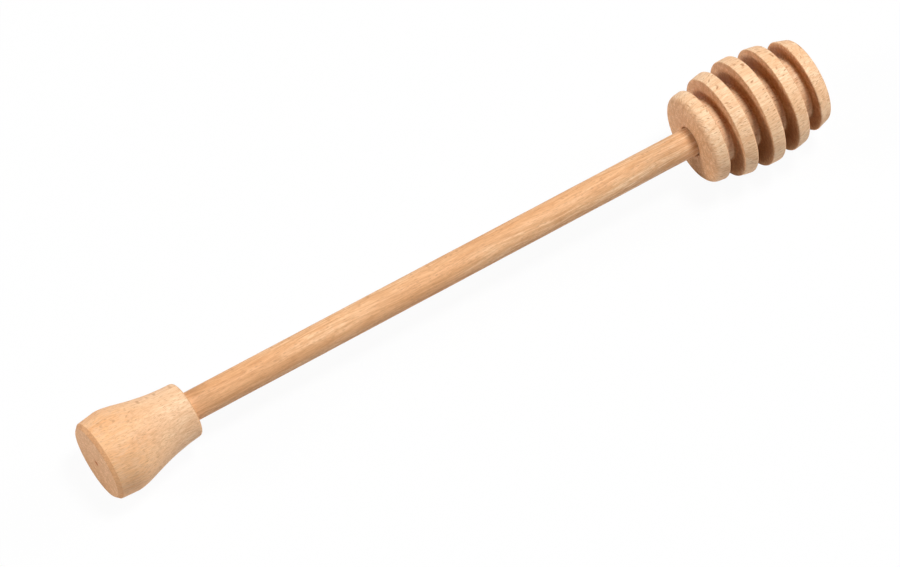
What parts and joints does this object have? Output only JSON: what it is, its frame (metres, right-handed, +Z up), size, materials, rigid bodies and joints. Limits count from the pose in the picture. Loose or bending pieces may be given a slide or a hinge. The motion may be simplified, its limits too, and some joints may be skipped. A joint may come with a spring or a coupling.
{
  "type": "honey dipper",
  "caption": "Turned wooden honey dipper: a barrel-shaped head with deep parallel grooves and a flared end knob, both glued on a straight dowel.",
  "frame": {"origin": "the point where the rod's axis meets the flat end face of the knob", "axes": "+X along the rod's axis from the knob to the head, +Z up with the dipper lying on its side; the knob leans 3.1 degrees off the rod's axis, in a direction 12 degrees from -Y towards -Z"},
  "size_m": [0.2169, 0.0306, 0.0306],
  "materials": {
    "head_wood": "raw sanded beech, matte",
    "rod_wood": "raw sanded beech dowel, matte",
    "knob_wood": "raw sanded beech, matte"
  },
  "bodies": {
    "root": {"dipper_head": "head_wood", "handle_rod": "rod_wood", "end_knob": "knob_wood"}
  },
  "joints": []
}
